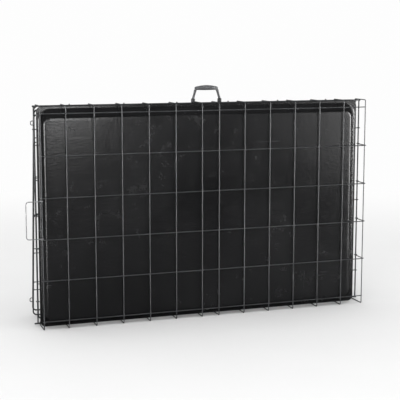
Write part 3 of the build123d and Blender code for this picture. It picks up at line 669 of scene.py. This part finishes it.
def soften(node, width, material, segments=2):
    """A pressed metal or moulded CAD piece keeps its shape and gets rounded edges."""
    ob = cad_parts[node]
    bv = ob.modifiers.new("edge", "BEVEL")
    bv.width = width
    bv.segments = segments
    bv.limit_method = "ANGLE"
    bv.angle_limit = math.radians(40)
    bv.use_clamp_overlap = True
    for p in ob.data.polygons:
        p.use_smooth = False
    ob.data.materials.clear()
    ob.data.materials.append(material)
    return ob


soften("side_door_bolt_brackets", 0.0003, ROD_MAT)
soften("side_door_keepers", 0.0003, ROD_MAT)

# ------------------------------------------------------------------ pan stop loop
w = Wires()
RR = WIRE / 2 + 0.08 + LOOP_D / 2
zax = Vector((0, 0, 1))
c1, c0 = at(CROSS_X[0], 0, LOOP_Z1), at(CROSS_X[0], 0, LOOP_Z0)
top_arc = [c1 + Matrix.Rotation(math.radians(a_), 3, zax) @ Vector((0, -RR, 0)) + zax * 1.2 * (a_ / 315.0)
           for a_ in range(315, -1, -15)]
low_arc = [c0 + Matrix.Rotation(math.radians(a_), 3, zax) @ Vector((0, -RR, 0)) - zax * 1.2 * (a_ / 315.0)
           for a_ in range(0, 316, 15)]
bend = fillet([top_arc[-1], at(LOOP_X, -RR, LOOP_Z1), at(LOOP_X, -RR, LOOP_Z0), low_arc[0]], 9.0, 9)
w.tube(top_arc[:-1] + bend + low_arc[1:], LOOP_D, sides=14, step=9)
w.make("pan_stop_wire", "pan_stop", "loop_wire", LOOP_MAT, ["pan_stop_loop"])

# ------------------------------------------------------------------ pan
def rect_ring(x0, x1, z0, z1, r, y, nc=12, ne=14):
    pts = []
    for cx, cz, a0 in ((x1 - r, z1 - r, 0), (x0 + r, z1 - r, 90), (x0 + r, z0 + r, 180), (x1 - r, z0 + r, 270)):
        for k in range(nc + 1):
            a = math.radians(a0 + 90 * k / nc)
            pts.append((cx + r * math.cos(a), cz + r * math.sin(a)))
    out = []
    n = len(pts)
    for i in range(n):
        out.append(at(pts[i][0], y, pts[i][1]))
        if (i + 1) % (nc + 1) == 0:
            b = pts[(i + 1) % n]
            for k in range(1, ne):
                f = k / ne
                out.append(at(pts[i][0] * (1 - f) + b[0] * f, y, pts[i][1] * (1 - f) + b[1] * f))
    return out


fx0, fx1, fz0, fz1 = PAN_FLOOR
rx0, rx1, rz0, rz1 = PAN_RIM
Y1 = PAN_Y0 + PAN_DEPTH
wall = (rx0 + FLANGE, rx1 - FLANGE, rz0 + FLANGE, rz1 - FLANGE)


def between(f, y, grow=0.0, extra_r=0.0):
    """Ring a share f of the way from the floor outline to the wall's top outline."""
    x0 = fx0 + (wall[0] - fx0) * f - grow
    x1 = fx1 + (wall[1] - fx1) * f + grow
    z0 = fz0 + (wall[2] - fz0) * f - grow
    z1 = fz1 + (wall[3] - fz1) * f + grow
    return rect_ring(x0, x1, z0, z1, 26 + 17 * f + grow + extra_r, y)


rings = []


def inset(d, y):
    rings.append(rect_ring(fx0 + d, fx1 - d, fz0 + d, fz1 - d, max(26 - d, 5), y))


# outer skin, from the middle of the floor outwards
for d in (260, 130, 60, 25, 12):
    inset(d, PAN_Y0)
E = 11.0
slope = math.atan2(PAN_DEPTH, 24.0)
for k in range(1, 10):                              # rounded edge of the floor
    a = slope * k / 9
    drop = E * (1 - math.cos(a))
    run = E * math.tan(slope / 2) - E * math.sin(a)  # distance inside the sharp edge, along the floor
    y = PAN_Y0 + drop
    f = drop / PAN_DEPTH
    rings.append(between(f, y, -(run + 24.0 * f)))
for f in (0.3, 0.45, 0.62, 0.76):
    rings.append(between(f, PAN_Y0 + PAN_DEPTH * f))
yb = Y1 - PAN_T
for k in range(1, 6):                               # hollow corner under the rim
    a = math.pi / 2 * k / 5
    y = yb - 3.2 * (1 - math.sin(a))
    f = 0.76 + 0.155 * k / 5
    rings.append(between(f, y, 3.2 * (1 - math.cos(a)) * 0.9))


def rim(d, y):
    rings.append(rect_ring(rx0 + d, rx1 - d, rz0 + d, rz1 - d, max(20 - d, 12), y))


rim(1.6, yb)
for k in range(0, 7):                               # rounded outer edge of the rim
    a = math.pi * k / 6
    rim(1.3 - 1.3 * math.sin(a), Y1 - PAN_T / 2 - PAN_T / 2 * math.cos(a))
rim(3.0, Y1)
wt = PAN_T
for k in range(0, 6):                               # rounded inner edge of the rim
    a = math.pi / 2 * k / 5
    y = Y1 - 2.4 * (1 - math.cos(a))
    f = (y - PAN_Y0) / PAN_DEPTH
    rings.append(between(f, y, -wt + 1.4 * (1 - math.sin(a))))
for f in (0.72, 0.5, 0.34):
    rings.append(between(f, PAN_Y0 + PAN_DEPTH * f, -wt - 0.2))
yi = PAN_Y0 + PAN_T
for k in range(1, 7):                               # hollow inner corner of the floor
    a = math.pi / 2 * k / 6
    y = yi + 7.5 * (1 - math.sin(a))
    rings.append(between(max(0.0, (y - PAN_Y0) / PAN_DEPTH), y, -wt - 6.5 * (1 - math.cos(a))))
for d in (26, 60, 130, 260):
    inset(d, yi)

n = len(rings[0])
verts = [p / 1000 for r_ in rings for p in r_]
faces = []
for i in range(len(rings) - 1):
    for s in range(n):
        s2 = (s + 1) % n
        faces.append((i * n + s, i * n + s2, (i + 1) * n + s2, (i + 1) * n + s))


def cap(first, flip):
    """Fills the innermost ring with strips between its two long halves."""
    half = n // 2
    start = 13 // 2
    idx = [first + (start + k) % n for k in range(n)]
    for k in range(half - 1):
        q = (idx[k], idx[k + 1], idx[n - 2 - k], idx[n - 1 - k])
        if len(set(q)) == 4:
            faces.append(q[::-1] if flip else q)


cap(0, True)
cap((len(rings) - 1) * n, False)
me = bpy.data.meshes.new("pan_tray")
me.from_pydata(verts, [], faces)
me.validate()
me.update()
import bmesh
bm = bmesh.new()
bm.from_mesh(me)
bmesh.ops.recalc_face_normals(bm, faces=bm.faces)
loose = [e for e in bm.edges if e.is_boundary]
if loose:
    bmesh.ops.holes_fill(bm, edges=loose, sides=0)
bmesh.ops.recalc_face_normals(bm, faces=bm.faces)
print("pan boundary edges", len([e for e in bm.edges if e.is_boundary]), "volume", bm.calc_volume())
bm.to_mesh(me)
bm.free()
for p in me.polygons:
    p.use_smooth = True
pan = bpy.data.objects.new("pan_tray", me)
bpy.context.scene.collection.objects.link(pan)
me.materials.append(PAN_MAT)
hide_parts("pan")
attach(pan, "pan")


# ------------------------------------------------------------------ carry handle
def loft_mesh(name, sections, material, levels=1):
    vs, fs = [], []
    k = len(sections[0])
    for sec in sections:
        vs += [p / 1000 for p in sec]
    for i in range(len(sections) - 1):
        for s in range(k):
            s2 = (s + 1) % k
            fs.append((i * k + s, i * k + s2, (i + 1) * k + s2, (i + 1) * k + s))
    fs.append(tuple(range(k))[::-1])
    fs.append(tuple((len(sections) - 1) * k + s for s in range(k)))
    me = bpy.data.meshes.new(name)
    me.from_pydata(vs, [], fs)
    bm = bmesh.new()
    bm.from_mesh(me)
    bmesh.ops.recalc_face_normals(bm, faces=bm.faces)
    bm.to_mesh(me)
    bm.free()
    for p in me.polygons:
        p.use_smooth = True
    ob = bpy.data.objects.new(name, me)
    bpy.context.scene.collection.objects.link(ob)
    if levels:
        sd = ob.modifiers.new("smooth", "SUBSURF")
        sd.levels = levels
        sd.render_levels = levels
    me.materials.append(material)
    return ob


def super_ring(centre, ay, az, power, count=24, dip=0.0):
    out = []
    for k in range(count):
        a = 2 * math.pi * k / count
        c, s = math.cos(a), math.sin(a)
        y = math.copysign(abs(c) ** (2 / power), c) * ay
        z = math.copysign(abs(s) ** (2 / power), s) * az
        if z < 0:
            z *= 1 - dip * (1 - abs(c))
        out.append(centre + Vector((0, y, z)))
    return out


sections = []
prof = [(-42.3, 2.6, 2.2), (-41.6, 4.6, 3.8), (-40.0, 6.0, 5.0), (-36.0, 7.3, 5.9), (-30.0, 8.5, 6.6), (-22.0, 9.7, 7.4),
        (-14.0, 10.4, 7.9), (-6.0, 10.8, 8.3), (0.0, 10.95, 8.4)]
prof += [(-x, y_, z_) for x, y_, z_ in reversed(prof[:-1])]
for x, ay, az in prof:
    ridge = 0.0
    lift = -1.5 + 2.0 * math.cos(min(1.0, abs(x) / 41.0) * math.pi / 2)
    sections.append(super_ring(at(HANDLE_X + x * 1.02, LIP, GRIP_Z + lift), ay, az * 1.12 + ridge, 2.7, 28, 0.12))
grip = loft_mesh("carry_handle_bar", sections, GRIP_MAT, 1)
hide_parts("carry_handle_grip")
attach(grip, "handle")
for sgn, side in ((-1, "left"), (1, "right")):
    secs = []
    for k, (t, hx, hy) in enumerate(((0.0, 3.75, 5.5), (0.03, 3.75, 5.5), (0.2, 3.6, 5.4), (0.45, 3.5, 5.5),
                                     (0.7, 3.7, 6.0), (0.86, 4.3, 6.6), (0.97, 4.9, 6.6))):
        x = HANDLE_X + sgn * (FOOT_X + (GRIP_X + 0.5 - FOOT_X) * t)
        z = SOCKET_TOP - 0.4 + (GRIP_Z - 3.5 - SOCKET_TOP) * t
        ring = []
        for j in range(20):
            a = 2 * math.pi * j / 20
            c, s = math.cos(a), math.sin(a)
            ring.append(at(x + math.copysign(abs(c) ** (2 / 3.2), c) * hx,
                           LIP + math.copysign(abs(s) ** (2 / 3.2), s) * hy, z))
        secs.append(ring)
    leg = loft_mesh("carry_handle_leg_" + side, secs, GRIP_MAT, 1)
    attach(leg, "handle")
    # strap end: a bored block round the rim rod
    prof2 = []
    for j in range(17):
        a = math.pi + math.pi * j / 16
        prof2.append((6.5 * math.cos(a), 6.5 * math.sin(a)))
    top = SOCKET_TOP - ROD_Z1
    for yy, zz in ((6.5, top * 0.35), (6.5, top * 0.7), (6.35, top - 1.2), (5.6, top - 0.25), (4.6, top),
                   (0.0, top), (-4.6, top), (-5.6, top - 0.25), (-6.35, top - 1.2), (-6.5, top * 0.7), (-6.5, top * 0.35)):
        prof2.append((yy, zz))
    hole = [((ROD / 2 + 0.08) * math.cos(2 * math.pi * j / 28), (ROD / 2 + 0.08) * math.sin(2 * math.pi * j / 28)) for j in range(28)]
    m = len(prof2)
    # outer and bore rings share one angular order so that the end faces are clean strips
    hole = []
    for yy, zz in prof2:
        a = math.atan2(zz, yy)
        hole.append(((ROD / 2 + 0.08) * math.cos(a), (ROD / 2 + 0.08) * math.sin(a)))
    xs = [(-5.5, 0.88), (-5.2, 0.96), (-4.6, 1.0), (4.6, 1.0), (5.2, 0.96), (5.5, 0.88)]
    vs, fs = [], []
    for dx, k_ in xs:
        for yy, zz in prof2:
            vs.append(at(HANDLE_X + sgn * FOOT_X + dx, LIP + yy * k_, ROD_Z1 + zz * k_ + (0 if zz < 0 else (1 - k_) * 0.5)) / 1000)
    for dx, _ in ((5.5, 0), (-5.5, 0)):
        for yy, zz in hole:
            vs.append(at(HANDLE_X + sgn * FOOT_X + dx, LIP + yy, ROD_Z1 + zz) / 1000)
    rows = len(xs) + 2
    for i in range(rows):
        i2 = (i + 1) % rows
        for s in range(m):
            s2 = (s + 1) % m
            fs.append((i * m + s, i * m + s2, i2 * m + s2, i2 * m + s))
    me = bpy.data.meshes.new("socket_" + side)
    me.from_pydata(vs, [], fs)
    bm = bmesh.new()
    bm.from_mesh(me)
    bmesh.ops.recalc_face_normals(bm, faces=bm.faces)
    bm.to_mesh(me)
    bm.free()
    for p in me.polygons:
        p.use_smooth = True
    so = bpy.data.objects.new("carry_handle_socket_" + side, me)
    bpy.context.scene.collection.objects.link(so)
    me.materials.append(SOCKET_MAT)
    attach(so, "handle")
    if sgn == 1:
        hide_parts("carry_handle_sockets")

# ------------------------------------------------------------------ floor and world
def smoothstep(nt, fac, lo, hi):
    m = nt.nodes.new("ShaderNodeMapRange")
    m.interpolation_type = "SMOOTHSTEP"
    m.inputs["From Min"].default_value = lo
    m.inputs["From Max"].default_value = hi
    nt.links.new(fac, m.inputs["Value"])
    return m.outputs[0]


me = bpy.data.meshes.new("floor")
F = 30.0
me.from_pydata([(-F, -F, -0.0002), (F, -F, -0.0002), (F, F, -0.0002), (-F, F, -0.0002)], [], [(0, 1, 2, 3)])
floor = bpy.data.objects.new("floor", me)
bpy.context.scene.collection.objects.link(floor)
m, nt, p, vec, out = nodes_of("floor_pale")
col = mixc(nt, noise(nt, vec, 3.0, 4), (0.71, 0.71, 0.71), (0.74, 0.74, 0.74))
nt.links.new(col, p.inputs["Base Color"])
p.inputs["Roughness"].default_value = 0.7
p.inputs["Specular IOR Level"].default_value = 0.2
em = nt.nodes.new("ShaderNodeEmission")
em.inputs["Color"].default_value = (1, 1, 1, 1)
em.inputs["Strength"].default_value = 0.985
ln = nt.nodes.new("ShaderNodeVectorMath")
ln.operation = "LENGTH"
nt.links.new(vec, ln.inputs[0])
far = smoothstep(nt, ln.outputs["Value"], 0.55, 3.4)
lp = nt.nodes.new("ShaderNodeLightPath")
fac = math_(nt, "MULTIPLY", far, lp.outputs["Is Camera Ray"])
ms = nt.nodes.new("ShaderNodeMixShader")
nt.links.new(fac, ms.inputs[0])
nt.links.new(p.outputs[0], ms.inputs[1])
nt.links.new(em.outputs[0], ms.inputs[2])
# painted shade: in glossy rays the pale floor is swapped for a dim grey diffuse near the crate, fading to
# transparent farther out, so the floor mirrored in the pan and wires reads dark
painted_shade_mirrored_floor = nt.nodes.new("ShaderNodeBsdfDiffuse")
painted_shade_mirrored_floor.inputs[0].default_value = (0.14, 0.14, 0.14, 1)
mg = nt.nodes.new("ShaderNodeMixShader")
nt.links.new(lp.outputs["Is Glossy Ray"], mg.inputs[0])
nt.links.new(ms.outputs[0], mg.inputs[1])
clear = nt.nodes.new("ShaderNodeBsdfTransparent")
md = nt.nodes.new("ShaderNodeMixShader")
nt.links.new(smoothstep(nt, ln.outputs["Value"], 1.6, 2.6), md.inputs[0])
nt.links.new(painted_shade_mirrored_floor.outputs[0], md.inputs[1])
nt.links.new(clear.outputs[0], md.inputs[2])
nt.links.new(md.outputs[0], mg.inputs[2])
nt.links.new(mg.outputs[0], out.inputs[0])
me.materials.append(m)

world = bpy.data.worlds.new("studio")
bpy.context.scene.world = world
world.use_nodes = True
nt = world.node_tree
nt.nodes.clear()
wo = nt.nodes.new("ShaderNodeOutputWorld")
bg_cam = nt.nodes.new("ShaderNodeBackground")
bg_cam.inputs[0].default_value = (1, 1, 1, 1)
bg_cam.inputs[1].default_value = 0.985
tc = nt.nodes.new("ShaderNodeTexCoord")
sep = nt.nodes.new("ShaderNodeSeparateXYZ")
nt.links.new(tc.outputs["Generated"], sep.inputs[0])
dx, dy, dz = sep.outputs
lp = nt.nodes.new("ShaderNodeLightPath")
# soft, even room light on matt surfaces
bg_env = nt.nodes.new("ShaderNodeBackground")
nt.links.new(math_(nt, "ADD", smoothstep(nt, dz, -0.1, 0.9), 0.42), bg_env.inputs[1])
# what gloss mirrors: a dark room with tall soft boxes at both sides and a bright wall behind
bg_gl = nt.nodes.new("ShaderNodeBackground")
left = math_(nt, "MULTIPLY", smoothstep(nt, math_(nt, "MULTIPLY", dx, -1.0), 0.25, 0.60), smoothstep(nt, dz, -0.15, -0.04))
right = math_(nt, "MULTIPLY", smoothstep(nt, dx, 0.55, 0.78), smoothstep(nt, dz, -0.17, -0.05))
left = math_(nt, "MULTIPLY", left, smoothstep(nt, math_(nt, "MULTIPLY", dy, -1.0), 0.05, 0.35))
right = math_(nt, "MULTIPLY", right, smoothstep(nt, math_(nt, "MULTIPLY", dy, -1.0), 0.22, 0.5))
left = math_(nt, "MULTIPLY", left, smoothstep(nt, dz, 0.28, 0.02))
right = math_(nt, "MULTIPLY", right, smoothstep(nt, dz, 0.42, 0.10))
front = smoothstep(nt, math_(nt, "MULTIPLY", dy, -1.0), -0.4, -0.1)
side = math_(nt, "MULTIPLY", math_(nt, "ADD", math_(nt, "MULTIPLY", left, 30.0), math_(nt, "MULTIPLY", right, 32.0)), front)
lid = smoothstep(nt, dz, 0.9, 0.3)
side = math_(nt, "MULTIPLY", side, lid)
wall = math_(nt, "MULTIPLY", smoothstep(nt, dy, 0.5, 0.9), 0.5)
tot = math_(nt, "ADD", math_(nt, "ADD", side, wall), 0.115)
nt.links.new(tot, bg_gl.inputs[1])
mgl = nt.nodes.new("ShaderNodeMixShader")
nt.links.new(lp.outputs["Is Glossy Ray"], mgl.inputs[0])
nt.links.new(bg_env.outputs[0], mgl.inputs[1])
nt.links.new(bg_gl.outputs[0], mgl.inputs[2])
ms = nt.nodes.new("ShaderNodeMixShader")
nt.links.new(lp.outputs["Is Camera Ray"], ms.inputs[0])
nt.links.new(mgl.outputs[0], ms.inputs[1])
nt.links.new(bg_cam.outputs[0], ms.inputs[2])
nt.links.new(ms.outputs[0], wo.inputs[0])


def area(name, loc, target, sx, sy, power):
    d = bpy.data.lights.new(name, "AREA")
    d.shape = "RECTANGLE"
    d.size, d.size_y, d.energy = sx, sy, power
    o = bpy.data.objects.new(name, d)
    bpy.context.scene.collection.objects.link(o)
    o.location = loc
    o.rotation_euler = (Vector(target) - Vector(loc)).to_track_quat("-Z", "Y").to_euler()
    o.visible_camera = False
    return o


top = area("top_soft", (0.0, -0.5, 3.6), (0, 0, 0.2), 3.6, 3.0, 50)
top.visible_glossy = False
area("sheen_left", (0.03, -3.0, 0.80), (-0.45, 0, 0.72), 0.40, 0.54, 9.0)
area("sheen_right", (2.25, -3.0, 0.62), (0.5, 0, 0.66), 0.70, 0.90, 6.0)
area("wire_key", (-2.3, -3.2, 2.4), (0, 0, 0.4), 0.9, 0.9, 28)

# ------------------------------------------------------------------ camera
cam_data = bpy.data.cameras.new("camera")
cam_data.lens = 96.81
cam_data.sensor_width = 36.0
cam_data.clip_start = 0.05
cam_data.clip_end = 100
cam = bpy.data.objects.new("camera", cam_data)
bpy.context.scene.collection.objects.link(cam)
cam.location = (-1.2447, -3.6284, 0.9679)
cam.rotation_euler = (math.radians(81.66), 0.0, math.radians(-19.13))
bpy.context.scene.camera = cam
bpy.context.scene.view_settings.view_transform = "Standard"
bpy.context.scene.view_settings.look = "None"
